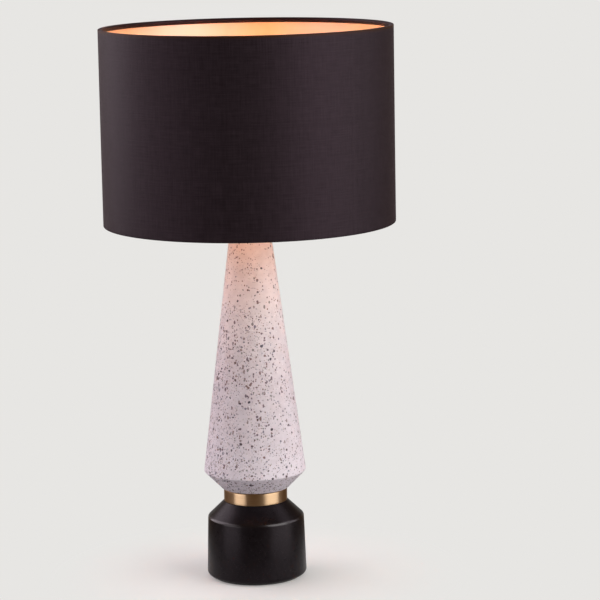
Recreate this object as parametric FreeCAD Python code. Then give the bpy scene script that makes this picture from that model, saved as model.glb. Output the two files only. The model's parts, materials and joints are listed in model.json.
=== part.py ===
"""Table lamp: black foot, brass collar, terrazzo cone, E27 lampholder, drum shade and bulb.

Frame: millimetres, +Z up, +X to the right, +Y to the rear. The origin is the centre of the
underside, on the surface that the lamp stands on. Every piece is turned about the Z axis
unless its function says otherwise.
"""
import FreeCAD
import Part
import math
import os

V = FreeCAD.Vector
ORIGIN = V(0, 0, 0)
UP = V(0, 0, 1)
REAR = V(0, 1, 0)

# ---------------------------------------------------------------- driving dimensions
# foot
pad_thickness = 2.0
pad_inset = 6.6              # pad edge inside the foot's outer radius
base_radius = 60.6           # at the foot's lower edge
base_shoulder_radius = 58.4
base_shoulder_z = 74.4
base_top_z = 93.6
base_edge_round = 5.0
shoulder_round = 3.6
recess_radius = 32.0         # pocket in the underside for nut, washers and flex
recess_depth = 50.0
recess_round = 3.0

# cord inlet, at the rear of the foot
inlet_z = 16.0
inlet_bore_radius = 3.7      # takes a round flex of 7 mm
bush_shank_wall = 2.3
bush_shank_length = 14.0
bush_flange_width = 2.5      # flange beyond the shank
bush_flange_thickness = 2.0
bush_proud = 0.6             # flange face beyond the corners of its spot face

# brass collar and its gasket
collar_radius = 38.5
collar_height = 15.3
collar_wall = 4.0
collar_web = 4.0
collar_bevel = 0.7
collar_web_round = 1.0
spigot_height = 3.0
gasket_thickness = 0.8
gasket_inset = 0.9

# terrazzo cone
cone_foot_radius = 40.4
cone_wide_radius = 61.8
cone_chamfer_height = 21.5
cone_top_radius = 22.9
cone_height = 326.3          # from the gasket to the top face
cone_edge_round = 4.0
cone_rim_round = 1.2         # at the foot and at the top
core_foot_radius = 30.0
core_top_radius = 12.0
core_round = 4.0
cone_crown = 16.0            # stone left above the core

# tube and its fasteners (M10 x 1)
tube_radius = 5.0
tube_wall = 0.9
tube_tail = 6.0              # tube below the clamp nut
tube_head = 2.0              # tube above the lampholder's boss
clamp_washer_width = 17.0    # ring widths, from the tube outwards
clamp_washer_thickness = 2.5
lock_washer_width = 4.0
lock_washer_thickness = 1.6
lock_washer_split = 1.2
lock_washer_lead = 30.0      # slant of the split, in degrees
nut_wall = 3.5               # tube to the nut's flats
clamp_nut_height = 6.0
lock_nut_height = 3.0
cone_cap_inset = 2.0         # cap edge inside the cone's top radius
cone_cap_height = 4.0
cone_cap_rim = 1.6           # upright part of the cap's edge
cone_cap_slope = 3.0         # width of its sloping part

# lampholder, E27: radii grow outwards from the bulb's cap
cap_radius = 12.9
cap_play = 0.4               # cap to screw shell
shell_wall = 0.4
shell_flange = 0.9           # flange at the shell's foot, inside its wall
shell_space = 2.6            # shell to the cavity of the holder
holder_wall = 3.6            # cavity to the outer thread
holder_step = 1.0            # depth of the rim that the skirt slides on
holder_boss_wall = 3.5
holder_boss_height = 5.0
holder_floor = 1.5           # dome wall above the boss
holder_dome_height = 12.0    # from the boss to the full radius
holder_dome_round = 6.0
holder_inner_round = 5.0
holder_cap_height = 26.0
holder_sleeve = 4.0          # the skirt's sleeve over the cap
holder_ledge = 1.2           # width of the insert's seat
insert_flange = 5.0          # ceramic above its seat
insert_drop = 1.0            # insert top below the cap's rim
insert_depth = 6.0           # ceramic below its seat
insert_core_inset = 2.1      # ceramic core inside the cavity's radius
insert_taper = 1.0
groove_depth = 2.0
groove_play = 0.5            # each side of a contact
contact_width = 5.0
contact_thickness = 0.6
contact_rise = 4.0           # sprung height of the centre contact
contact_tip = 6.0            # level length under the bulb
contact_ramp = 2.0
lug_height = 6.0
lug_gap = 0.9                # contact strip to the shell's flange
terminal_screw_radius = 1.6
terminal_head_width = 0.8    # head beyond the shank
terminal_head_height = 1.4
terminal_stand_off = 1.5     # head below the ceramic
pocket_play = 1.0
grub_screw_radius = 1.5
grub_screw_proud = 0.8
grub_slot_width = 0.6
skirt_margin = 1.0           # skirt above the bulb cap's rim
shell_drop = 3.0             # shell below the bulb cap's rim

# rings that clamp the shade
clamp_seat_height = 40.0     # shade seat above the lampholder's lower end
ring_grip = 8.6              # flange beyond the thread
ring_hub_wall = 4.0
lower_ring_height = 5.5
upper_ring_height = 8.0
ring_flange_share = 0.45     # of each ring's height
ring_ribs = 24
rib_groove_radius = 1.4
rib_groove_depth = 0.77

# shade
shade_radius = 175.0
shade_height = 234.0
shade_drop = 49.0            # lower end below the shade's seat
cover_thickness = 0.45
lining_thickness = 0.8       # stiff panel that carries the cover
wire_radius = 1.5
arm_count = 3
first_arm_angle = 90.0       # one arm points to the rear
arm_radius = 1.5
arm_stub = 9.0               # level stretch beside the wire ring
arm_bend = 12.0
arm_tab_width = 9.0
arm_tab_thickness = 1.6
arm_tab_margin = 0.5         # tab inside the carrier's edge
arm_tab_gap = 1.2            # tab to the upper ring's rim
carrier_play = 1.1           # carrier hole to the holder's thread
carrier_margin = 8.5         # carrier beyond the clamp rings
carrier_thickness = 1.6
carrier_lip = 2.4            # turned-down outer edge

# bulb, A60 with E27 cap
globe_radius = 30.0
globe_wall = 1.0
globe_centre = 48.0          # above the cap's rim
globe_tail = 5.0             # glass inside the cap
globe_lift = 0.2             # glass shoulder above the cap's rim
neck_step = 0.5              # glass proud of the cap
neck_height = 3.0
cap_wall = 0.4
cap_height = 26.0            # contact to rim
cap_turn_in = 1.5
insulator_height = 5.0
insulator_foot = 0.8         # black glass beyond the contact
contact_button_radius = 4.5
contact_button_height = 1.5
stem_flare_depth = 4.0       # flare below the cap's rim
stem_flare_height = 1.5
stem_waist_radius = 4.0
stem_waist_z = 8.0           # above the cap's rim
stem_tip_radius = 3.0
stem_height = 26.0
filament_count = 4
filament_radius = 1.1
filament_length = 30.0
filament_foot_radius = 6.0
filament_top_radius = 9.5
filament_lift = 1.0          # rods above the stem
filament_turn = 45.0         # first rod's angle
lead_radius = 0.4

# edges
metal_round = 0.4            # pressed and turned metal
moulded_round = 0.8          # plastic, rubber and ceramic

# clearances
running_gap = 0.2            # between pieces that turn on each other
thread_gap = 0.1             # between screwed pieces, radially
seat_gap = 0.1               # between glued or dropped-in pieces, radially
wire_gap = 0.4               # slack of the rolled edges round the wires

# ---------------------------------------------------------------- derived stations
# heights, from the foot upwards
recess_z = pad_thickness + recess_depth
clamp_washer_z = recess_z - clamp_washer_thickness
lock_washer_z = clamp_washer_z - lock_washer_thickness
clamp_nut_z = lock_washer_z - clamp_nut_height
collar_z = base_top_z
gasket_z = collar_z + collar_height
cone_z = gasket_z + gasket_thickness
cone_top_z = cone_z + cone_height
cone_cap_z = cone_top_z
lock_nut_z = cone_cap_z + cone_cap_height
holder_z = lock_nut_z + lock_nut_height
holder_rim_z = holder_z + holder_cap_height
holder_joint_z = holder_rim_z - holder_sleeve
insert_top_z = holder_rim_z - insert_drop
seat_z = insert_top_z - insert_flange
insert_low_z = seat_z - insert_depth
groove_z = insert_top_z - groove_depth
bulb_z = insert_top_z + contact_rise
bulb_rim_z = bulb_z + cap_height
skirt_top_z = bulb_rim_z + skirt_margin
shade_seat_z = holder_z + clamp_seat_height
carrier_z = shade_seat_z + running_gap
carrier_top_z = carrier_z + carrier_thickness
upper_ring_z = carrier_top_z + running_gap
shade_bottom_z = shade_seat_z - shade_drop
shade_top_z = shade_bottom_z + shade_height
wire_inset = cover_thickness + wire_gap + wire_radius    # wire centre from the shade's end
low_wire_z = shade_bottom_z + wire_inset
high_wire_z = shade_top_z - wire_inset
grub_screw_z = holder_z + holder_boss_height / 2
stem_top_z = bulb_rim_z + stem_height

# radii, from the axis outwards
tube_hole_radius = tube_radius + thread_gap
nut_across_flats = 2 * (tube_radius + nut_wall)
boss_radius = tube_radius + holder_boss_wall
bush_shank_radius = inlet_bore_radius + bush_shank_wall
bush_flange_radius = bush_shank_radius + bush_flange_width
spigot_radius = collar_radius - collar_wall - seat_gap
shell_radius = cap_radius + cap_play + shell_wall
shell_foot_radius = shell_radius - shell_wall - shell_flange
terminal_offset = shell_foot_radius - lug_gap - contact_width / 2
cavity_radius = shell_radius + shell_space
holder_radius = cavity_radius + holder_wall
holder_joint_radius = holder_radius - holder_step
shade_ring_radius = holder_radius + ring_grip
carrier_hole_radius = holder_radius + carrier_play
carrier_radius = shade_ring_radius + carrier_margin
tab_start = shade_ring_radius + arm_tab_gap
lining_radius = shade_radius - cover_thickness - seat_gap
lining_bore_radius = lining_radius - lining_thickness
wire_ring_radius = lining_bore_radius - wire_gap - wire_radius
neck_radius = cap_radius + neck_step
cap_bore_radius = cap_radius - cap_wall


# ---------------------------------------------------------------- helpers
def outline(corners):
    """Closed wire in the XZ plane from (radius, z[, rounding]) corners, taken in order."""
    points = [V(c[0], 0, c[1]) for c in corners]
    rounds = [c[2] if len(c) > 2 else 0.0 for c in corners]
    starts, ends, mids = [], [], []
    count = len(points)
    for i, point in enumerate(points):
        to_last = (points[i - 1] - point).normalize()
        to_next = (points[(i + 1) % count] - point).normalize()
        half = to_last.getAngle(to_next) / 2
        reach = rounds[i] / math.tan(half)
        starts.append(point + to_last * reach)
        ends.append(point + to_next * reach)
        inward = (to_last + to_next).normalize() if rounds[i] else to_last
        mids.append(point + inward * (rounds[i] / math.sin(half) - rounds[i]))
    edges = []
    for i in range(count):
        if rounds[i]:
            edges.append(Part.Arc(starts[i], mids[i], ends[i]).toShape())
        follower = starts[(i + 1) % count]
        if ends[i].distanceToPoint(follower) > 1e-6:
            edges.append(Part.makeLine(ends[i], follower))
    return Part.Wire(edges)


def turned(corners):
    """Solid of revolution about Z from an outline's corners."""
    return Part.Face(outline(corners)).revolve(ORIGIN, UP, 360)


def ring(inner, outer, z, height, bevel=0.0):
    """Flat ring; bevel rounds its two outer edges."""
    return turned([
        (inner, z), (outer, z, bevel), (outer, z + height, bevel), (inner, z + height),
    ])


def rod(radius, start, end):
    """Round bar between two points."""
    axis = end - start
    return Part.makeCylinder(radius, axis.Length, start, axis)


def hex_nut(across_flats, bore, z, height):
    """Hexagon nut with its corners chamfered at the top and bottom."""
    corner = across_flats / math.sqrt(3)
    points = [V(corner * math.cos(math.radians(60 * k)), corner * math.sin(math.radians(60 * k)), z)
              for k in range(7)]
    prism = Part.Face(Part.makePolygon(points)).extrude(V(0, 0, height))
    chamfer = corner - across_flats / 2
    rounded = turned([
        (bore, z), (corner - chamfer, z), (corner, z + chamfer / 2),
        (corner, z + height - chamfer / 2), (corner - chamfer, z + height), (bore, z + height),
    ])
    return prism.common(rounded)


def spun(shape, count, first=0.0):
    """Copies of a shape spread evenly round the Z axis."""
    copies = []
    for k in range(count):
        copy = shape.copy()
        copy.rotate(ORIGIN, UP, first + 360.0 * k / count)
        copies.append(copy)
    return copies


# ---------------------------------------------------------------- foot
def make_base_pad():
    return turned([
        (0, 0), (base_radius - pad_inset, 0, metal_round),
        (base_radius - pad_inset, pad_thickness), (0, pad_thickness),
    ])


def make_base():
    """Cast foot with a pocket below, a spigot for the collar and a rear hole for the bush."""
    spigot_z = base_top_z + spigot_height
    body = turned([
        (recess_radius, pad_thickness), (base_radius, pad_thickness, base_edge_round),
        (base_shoulder_radius, base_shoulder_z, shoulder_round), (collar_radius, base_top_z),
        (spigot_radius, base_top_z), (spigot_radius, spigot_z, metal_round),
        (tube_hole_radius, spigot_z), (tube_hole_radius, recess_z),
        (recess_radius, recess_z, recess_round),
    ])
    hole_start = V(0, recess_radius / 2, inlet_z)
    hole = Part.makeCylinder(bush_shank_radius + seat_gap, base_radius, hole_start, REAR)
    spot_face = Part.makeCylinder(
        bush_flange_radius + seat_gap, base_radius, V(0, bush_flange_y(), inlet_z), REAR)
    return body.cut(hole.fuse(spot_face))


def bush_flange_y():
    """Where the bush's flange seats: its corners stay inside the foot's curved wall."""
    slope = (base_radius - base_shoulder_radius) / (base_shoulder_z - pad_thickness)
    wall = base_radius - slope * (inlet_z + bush_flange_radius - pad_thickness)
    reach = bush_flange_radius + seat_gap
    return math.sqrt(wall ** 2 - reach ** 2) - bush_flange_thickness + bush_proud


def make_cord_bush():
    """Flanged bush, turned about its own axis and laid along +Y."""
    length = bush_shank_length + bush_flange_thickness
    bush = turned([
        (inlet_bore_radius, 0, moulded_round), (bush_shank_radius, 0, moulded_round),
        (bush_shank_radius, bush_shank_length), (bush_flange_radius, bush_shank_length),
        (bush_flange_radius, length, moulded_round), (inlet_bore_radius, length, moulded_round),
    ])
    bush.rotate(ORIGIN, V(1, 0, 0), -90)
    bush.translate(V(0, bush_flange_y() - bush_shank_length, inlet_z))
    return bush


def make_clamp_washer():
    outer = tube_radius + clamp_washer_width
    return ring(tube_hole_radius, outer, clamp_washer_z, clamp_washer_thickness, metal_round)


def make_lock_washer():
    """Spring washer: a ring split by a slanting cut."""
    outer = tube_radius + lock_washer_width
    washer = ring(tube_hole_radius, outer, lock_washer_z, lock_washer_thickness)
    middle_z = lock_washer_z + lock_washer_thickness / 2
    split = Part.makeBox(outer, lock_washer_split, 4 * lock_washer_thickness,
                         V(0, -lock_washer_split / 2, middle_z - 2 * lock_washer_thickness))
    split.rotate(V(0, 0, middle_z), V(1, 0, 0), lock_washer_lead)
    return washer.cut(split)


def make_clamp_nut():
    return hex_nut(nut_across_flats, tube_hole_radius, clamp_nut_z, clamp_nut_height)


# ---------------------------------------------------------------- collar and cone
def make_brass_collar():
    """Ring with a web half way up; base and cone each reach into it with a spigot."""
    inner = collar_radius - collar_wall
    web_z = collar_z + (collar_height - collar_web) / 2
    return turned([
        (tube_hole_radius, web_z), (inner, web_z, collar_web_round), (inner, collar_z),
        (collar_radius - collar_bevel, collar_z), (collar_radius, collar_z + collar_bevel),
        (collar_radius, gasket_z - collar_bevel), (collar_radius - collar_bevel, gasket_z),
        (inner, gasket_z), (inner, web_z + collar_web, collar_web_round),
        (tube_hole_radius, web_z + collar_web),
    ])


def make_collar_gasket():
    return ring(spigot_radius + seat_gap, collar_radius - gasket_inset, gasket_z, gasket_thickness)


def make_terrazzo_cone():
    """Cast cone: chamfered underside, straight taper, tapered core open at the foot."""
    foot = cone_z - gasket_thickness - spigot_height
    core_top = cone_top_z - cone_crown
    return turned([
        (core_foot_radius, foot), (spigot_radius, foot, metal_round), (spigot_radius, cone_z),
        (cone_foot_radius, cone_z, cone_rim_round),
        (cone_wide_radius, cone_z + cone_chamfer_height, cone_edge_round),
        (cone_top_radius, cone_top_z, cone_rim_round), (tube_hole_radius, cone_top_z),
        (tube_hole_radius, core_top), (core_top_radius, core_top, core_round),
    ])


def make_cone_cap():
    radius = cone_top_radius - cone_cap_inset
    return turned([
        (tube_hole_radius, cone_cap_z), (radius, cone_cap_z), (radius, cone_cap_z + cone_cap_rim),
        (radius - cone_cap_slope, lock_nut_z, moulded_round), (tube_hole_radius, lock_nut_z),
    ])


def make_lock_nut():
    return hex_nut(nut_across_flats, tube_hole_radius, lock_nut_z, lock_nut_height)


def make_threaded_tube():
    bottom = clamp_nut_z - tube_tail
    height = holder_z + holder_boss_height + tube_head - bottom
    return ring(tube_radius - tube_wall, tube_radius, bottom, height, metal_round)


# ---------------------------------------------------------------- lampholder
def make_holder_cap():
    """Lower shell: threaded boss, dome, and a stepped rim that seats insert and skirt."""
    boss_z = holder_z + holder_boss_height
    dome_z = holder_z + holder_dome_height
    floor_z = boss_z + holder_floor
    bore = cavity_radius - holder_ledge
    cap = turned([
        (tube_hole_radius, holder_z), (boss_radius, holder_z, moulded_round),
        (boss_radius, boss_z, moulded_round), (holder_radius, dome_z, holder_dome_round),
        (holder_radius, holder_joint_z), (holder_joint_radius, holder_joint_z),
        (holder_joint_radius, holder_rim_z), (cavity_radius, holder_rim_z),
        (cavity_radius, seat_z), (bore, seat_z), (bore, dome_z + holder_ledge, holder_inner_round),
        (boss_radius, floor_z, moulded_round), (tube_hole_radius, floor_z),
    ])
    hole = rod(grub_screw_radius + thread_gap, V(0, tube_radius, grub_screw_z),
               V(0, 2 * boss_radius, grub_screw_z))
    return cap.cut(hole)


def make_holder_grub_screw():
    """Slotted screw in the boss that stops the lampholder turning on its tube."""
    start = V(0, tube_hole_radius, grub_screw_z)
    end = V(0, boss_radius + grub_screw_proud, grub_screw_z)
    screw = rod(grub_screw_radius, start, end)
    slot = Part.makeBox(4 * grub_screw_radius, 2 * grub_screw_proud, grub_slot_width,
                        end - V(2 * grub_screw_radius, grub_screw_proud, grub_slot_width / 2))
    return screw.cut(slot)


def make_holder_skirt():
    """Upper shell: sleeve over the cap, threaded outside for the two shade rings."""
    sleeve = holder_joint_radius + thread_gap
    bore = cavity_radius + seat_gap
    step_z = holder_rim_z + seat_gap
    return turned([
        (sleeve, holder_joint_z), (holder_radius, holder_joint_z),
        (holder_radius, skirt_top_z, moulded_round), (bore, skirt_top_z, moulded_round),
        (bore, step_z), (sleeve, step_z),
    ])


def make_holder_insert():
    """Ceramic core on the cap's seat, with a groove for the contacts and two wire pockets."""
    flange = cavity_radius - seat_gap
    waist = cavity_radius - insert_core_inset
    core = turned([
        (0, insert_low_z), (waist - insert_taper, insert_low_z, moulded_round), (waist, seat_z),
        (flange, seat_z), (flange, insert_top_z, metal_round), (0, insert_top_z),
    ])
    width = contact_width + 2 * groove_play
    groove = Part.makeBox(2 * terminal_offset + width, width, groove_depth,
                          V(-terminal_offset - width / 2, -width / 2, groove_z))
    pocket = rod(terminal_screw_radius + pocket_play,
                 V(terminal_offset, 0, insert_low_z - insert_depth), V(terminal_offset, 0, seat_z))
    pockets = spun(pocket, 2)
    return core.cut(groove).cut(pockets[0]).cut(pockets[1])


def make_terminal_screws():
    """Two cheese-head screws in the wire pockets, drawn up against the ceramic."""
    low = insert_low_z - terminal_stand_off
    neck = low + terminal_head_height
    head_radius = terminal_screw_radius + terminal_head_width
    screw = turned([
        (0, low), (head_radius, low, metal_round), (head_radius, neck),
        (terminal_screw_radius, neck), (terminal_screw_radius, seat_z), (0, seat_z),
    ])
    screw.translate(V(terminal_offset, 0, 0))
    return Part.makeCompound(spun(screw, 2))


def make_screw_shell():
    """Thin brass cup that takes the bulb's cap: open above, a narrow foot flange below."""
    inner = shell_radius - shell_wall
    top = bulb_rim_z - shell_drop
    floor_z = insert_top_z + shell_wall
    return turned([
        (shell_foot_radius, insert_top_z), (shell_radius, insert_top_z), (shell_radius, top),
        (inner, top), (inner, floor_z), (shell_foot_radius, floor_z),
    ])


def make_centre_contact():
    """Sprung tongue from one terminal to the middle, under the bulb's contact."""
    tip = contact_tip / 2
    knee = tip + contact_ramp
    rise = V(0, 0, contact_thickness)
    lean = V(-contact_thickness, 0, contact_thickness)
    low = V(-knee, 0, groove_z)
    high = V(-tip, 0, bulb_z - contact_thickness)
    end = V(-terminal_offset, 0, groove_z)
    nose = V(tip, 0, bulb_z - contact_thickness)
    points = [end, low, high, nose, nose + rise, high + lean, low + lean, end + rise]
    face = Part.Face(Part.makePolygon(points + points[:1]))
    tongue = face.extrude(V(0, contact_width, 0))
    tongue.translate(V(0, -contact_width / 2, 0))
    return tongue


def make_side_contact():
    """Strip from the other terminal to a lug inside the screw shell's wall."""
    inner_x = terminal_offset - terminal_screw_radius - pocket_play
    outer_x = terminal_offset + contact_width / 2
    flat = Part.makeBox(outer_x - inner_x, contact_width, contact_thickness,
                        V(inner_x, -contact_width / 2, groove_z))
    lug = Part.makeBox(contact_thickness, contact_width, lug_height,
                       V(outer_x - contact_thickness, -contact_width / 2, groove_z))
    return flat.fuse(lug).removeSplitter()


# ---------------------------------------------------------------- rings that clamp the shade
def ribbed_ring(z, height, skirt_side):
    """Threaded ring with a wide flange towards the shade and a ribbed rim for the fingers.

    skirt_side is 1 when the hub rises above the flange and -1 when it hangs below it.
    """
    bore = holder_radius + thread_gap
    flange = height * ring_flange_share
    hub = holder_radius + ring_hub_wall
    seat = z if skirt_side > 0 else z + height
    out = seat + skirt_side * flange
    far = seat + skirt_side * height
    body = turned([
        (bore, seat), (shade_ring_radius, seat), (shade_ring_radius, out, moulded_round),
        (hub, out, moulded_round), (hub, far, moulded_round), (bore, far),
    ])
    groove_x = shade_ring_radius + rib_groove_radius - rib_groove_depth
    groove = rod(rib_groove_radius, V(groove_x, 0, z - height), V(groove_x, 0, z + 2 * height))
    for cutter in spun(groove, ring_ribs):
        body = body.cut(cutter)
    return body


def make_lower_shade_ring():
    return ribbed_ring(shade_seat_z - lower_ring_height, lower_ring_height, -1)


def make_upper_shade_ring():
    return ribbed_ring(upper_ring_z, upper_ring_height, 1)


# ---------------------------------------------------------------- shade
def make_shade_cover():
    """Fabric tube whose two ends are rolled over the skins' edges and round the wires."""
    thick = cover_thickness
    bore = shade_radius - thick
    roll = wire_radius + wire_gap
    inside = wire_ring_radius - roll
    tuck = lining_bore_radius - seat_gap
    low, high = shade_bottom_z, shade_top_z
    fold = wire_inset + roll
    cover = turned([
        (tuck, high - fold), (inside, high - fold, roll), (inside, high - thick, roll),
        (bore, high - thick), (bore, low + thick), (inside, low + thick, roll),
        (inside, low + fold, roll), (tuck, low + fold), (tuck, low + fold + thick),
        (inside - thick, low + fold + thick, roll + thick), (inside - thick, low, roll + thick),
        (shade_radius, low, 2 * thick), (shade_radius, high, 2 * thick),
        (inside - thick, high, roll + thick), (inside - thick, high - fold - thick, roll + thick),
        (tuck, high - fold - thick),
    ])
    half_width = arm_radius + wire_gap
    floor_z = low_wire_z - max(arm_radius, wire_radius) - wire_gap / 2
    slit = Part.makeBox(fold, 2 * half_width, 2 * fold,
                        V(wire_ring_radius - fold, -half_width, floor_z))
    for cutter in spun(slit, arm_count, first_arm_angle):
        cover = cover.cut(cutter)
    return cover


def make_shade_lining():
    margin = cover_thickness + seat_gap
    return ring(lining_bore_radius, lining_radius, shade_bottom_z + margin, shade_height - 2 * margin)


def make_top_wire_ring():
    return Part.makeTorus(wire_ring_radius, wire_radius, V(0, 0, high_wire_z), UP)


def arm_shape(radius):
    """One arm along +X, as a round wire of the given radius: level, up the slope, level."""
    high = carrier_top_z + arm_radius
    start = V(wire_ring_radius, 0, low_wire_z)
    knee = V(wire_ring_radius - arm_stub, 0, low_wire_z)
    shoulder = V(carrier_radius + arm_stub, 0, high)
    end = V(tab_start, 0, high)
    edges = []
    here = start
    for before, corner, after in ((start, knee, shoulder), (knee, shoulder, end)):
        back = (before - corner).normalize()
        ahead = (after - corner).normalize()
        half = back.getAngle(ahead) / 2
        reach = arm_bend / math.tan(half)
        sweep_in = corner + back * reach
        sweep_out = corner + ahead * reach
        middle = corner + (back + ahead).normalize() * (arm_bend / math.sin(half) - arm_bend)
        edges.append(Part.makeLine(here, sweep_in))
        edges.append(Part.Arc(sweep_in, middle, sweep_out).toShape())
        here = sweep_out
    edges.append(Part.makeLine(here, end))
    spine = Part.Wire(edges)
    section = Part.Wire(Part.makeCircle(radius, start, V(-1, 0, 0)))
    return spine.makePipeShell([section], True, False)


def make_bottom_wire_ring():
    return Part.makeTorus(wire_ring_radius, wire_radius, V(0, 0, low_wire_z), UP)


def make_shade_arms():
    """Three wires, coped to the lower wire ring and flattened on the carrier ring."""
    tab_length = carrier_radius - arm_tab_margin - tab_start
    tab = Part.makeBox(tab_length, arm_tab_width, arm_tab_thickness,
                       V(tab_start, -arm_tab_width / 2, carrier_top_z))
    rim = Part.makeTorus(wire_ring_radius, wire_radius + seat_gap, V(0, 0, low_wire_z), UP)
    arm = arm_shape(arm_radius).fuse(tab).cut(rim).removeSplitter()
    return Part.makeCompound(spun(arm, arm_count, first_arm_angle))


def make_carrier_ring():
    """Pressed ring with the E27 hole and a turned-down rim."""
    low = carrier_z - carrier_lip
    inner = carrier_radius - carrier_thickness
    return turned([
        (carrier_hole_radius, carrier_z), (inner, carrier_z, metal_round), (inner, low),
        (carrier_radius, low), (carrier_radius, carrier_top_z, carrier_thickness),
        (carrier_hole_radius, carrier_top_z, metal_round),
    ])


# ---------------------------------------------------------------- bulb
def globe_section(inset):
    """Half outline of the bulb's envelope, offset inwards: neck, hollow curve, round globe."""
    neck = neck_radius - inset
    centre = V(0, 0, bulb_rim_z + globe_centre)
    neck_z = bulb_rim_z + neck_height
    rise = globe_centre - neck_height
    spread = globe_radius - neck_radius
    hollow = (rise ** 2 / spread - (globe_radius + neck_radius)) / 2
    hollow_centre = V(neck_radius + hollow, 0, neck_z)
    outward = (hollow_centre - centre).normalize()
    ball = globe_radius - inset
    touch = centre + outward * ball
    start = V(neck, 0, neck_z)
    towards = ((start - hollow_centre).normalize() + (touch - hollow_centre).normalize()).normalize()
    waist = hollow_centre + towards * (hollow + inset)
    top = centre + V(0, 0, ball)
    side = centre + (outward + V(0, 0, 1)).normalize() * ball
    return start, waist, touch, side, top


def make_bulb_globe():
    """Glass envelope of even wall, its neck let into the cap."""
    outer = globe_section(0.0)
    inner = globe_section(globe_wall)
    foot_z = bulb_rim_z - globe_tail
    foot_outer = V(cap_bore_radius - seat_gap, 0, foot_z)
    foot_inner = V(foot_outer.x - globe_wall, 0, foot_z)
    ledge_z = bulb_rim_z + globe_lift
    ledge = V(foot_outer.x, 0, ledge_z)
    lip = V(neck_radius, 0, ledge_z)
    inner_ledge = V(foot_inner.x, 0, ledge_z + globe_wall)
    edges = [
        Part.makeLine(foot_inner, foot_outer), Part.makeLine(foot_outer, ledge),
        Part.makeLine(ledge, lip), Part.makeLine(lip, outer[0]),
        Part.Arc(outer[0], outer[1], outer[2]).toShape(),
        Part.Arc(outer[2], outer[3], outer[4]).toShape(),
        Part.makeLine(outer[4], inner[4]),
        Part.Arc(inner[4], inner[3], inner[2]).toShape(),
        Part.Arc(inner[2], inner[1], inner[0]).toShape(),
        Part.makeLine(inner[0], inner_ledge), Part.makeLine(inner_ledge, foot_inner),
    ]
    return Part.Face(Part.Wire(edges)).revolve(ORIGIN, UP, 360)


def make_bulb_cap():
    """E27 cap: thin shell with a turned-in lower edge that holds the insulator."""
    bottom = bulb_z + insulator_height
    edge = cap_bore_radius - cap_turn_in
    return turned([
        (edge, bottom), (cap_radius, bottom, moulded_round), (cap_radius, bulb_rim_z),
        (cap_bore_radius, bulb_rim_z), (cap_bore_radius, bottom + cap_wall, metal_round),
        (edge, bottom + cap_wall),
    ])


def make_bulb_insulator():
    """Black glass cone between the cap's edge and the centre contact."""
    bottom = bulb_z + contact_button_height
    top = bulb_z + insulator_height
    return turned([
        (0, bottom), (contact_button_radius + insulator_foot, bottom, metal_round),
        (cap_bore_radius - cap_turn_in / 2, top), (0, top),
    ])


def make_bulb_contact():
    top = bulb_z + contact_button_height
    return turned([
        (0, bulb_z), (contact_button_radius, bulb_z, moulded_round),
        (contact_button_radius, top), (0, top),
    ])


def make_bulb_stem():
    """Glass stem: a flare sealed to the neck, narrowing to a pinched rod."""
    flare = cap_bore_radius - 2 * seat_gap - globe_wall
    low = bulb_rim_z - stem_flare_depth
    return turned([
        (0, low), (flare, low), (flare, low + stem_flare_height, metal_round),
        (stem_waist_radius, bulb_rim_z + stem_waist_z, stem_waist_radius),
        (stem_tip_radius, stem_top_z, metal_round), (0, stem_top_z),
    ])


def make_bulb_filaments():
    """Upright light rods round the stem, each hung on a lead that reaches over the stem."""
    low_z = stem_top_z + filament_lift
    hub_z = stem_top_z + lead_radius + seat_gap
    hang = V(filament_foot_radius, 0, hub_z)
    low = V(filament_foot_radius, 0, low_z)
    high = V(filament_top_radius, 0, low_z + filament_length)
    light = rod(filament_radius, low, high)
    crosspiece = rod(lead_radius, V(0, 0, hub_z), hang)
    hanger = rod(lead_radius, hang - V(0, 0, lead_radius), low + V(0, 0, filament_radius))
    arm = light.fuse(crosspiece).fuse(hanger)
    group = None
    for copy in spun(arm, filament_count, filament_turn):
        group = copy if group is None else group.fuse(copy)
    return group.removeSplitter()


# ---------------------------------------------------------------- export
PIECES = {
    "base_pad": make_base_pad,
    "base": make_base,
    "cord_bush": make_cord_bush,
    "clamp_washer": make_clamp_washer,
    "lock_washer": make_lock_washer,
    "clamp_nut": make_clamp_nut,
    "brass_collar": make_brass_collar,
    "collar_gasket": make_collar_gasket,
    "terrazzo_cone": make_terrazzo_cone,
    "threaded_tube": make_threaded_tube,
    "cone_cap": make_cone_cap,
    "lock_nut": make_lock_nut,
    "holder_cap": make_holder_cap,
    "holder_skirt": make_holder_skirt,
    "holder_insert": make_holder_insert,
    "holder_grub_screw": make_holder_grub_screw,
    "screw_shell": make_screw_shell,
    "centre_contact": make_centre_contact,
    "side_contact": make_side_contact,
    "terminal_screws": make_terminal_screws,
    "lower_shade_ring": make_lower_shade_ring,
    "upper_shade_ring": make_upper_shade_ring,
    "shade_cover": make_shade_cover,
    "shade_lining": make_shade_lining,
    "top_wire_ring": make_top_wire_ring,
    "bottom_wire_ring": make_bottom_wire_ring,
    "shade_arms": make_shade_arms,
    "carrier_ring": make_carrier_ring,
    "bulb_globe": make_bulb_globe,
    "bulb_cap": make_bulb_cap,
    "bulb_insulator": make_bulb_insulator,
    "bulb_contact": make_bulb_contact,
    "bulb_stem": make_bulb_stem,
    "bulb_filaments": make_bulb_filaments,
}

os.makedirs("parts", exist_ok=True)
for name, make in PIECES.items():
    piece = make()
    piece.exportStep(f"parts/{name}.step")
    valid = "valid" if piece.isValid() else "NOT VALID"
    print(f"{name:20s} {len(piece.Solids)} solid(s) {piece.Volume:12.1f} mm3 {valid}")
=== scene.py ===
"""Looks of the table lamp: camera, soft studio light, worked surfaces and procedural finishes.

Everything is in metres in the lamp's own frame: +Z up, +Y to the rear, origin under the foot.
"""

import json
import math

import bmesh
import bpy
import numpy as np
from mathutils import Matrix, Vector


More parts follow.
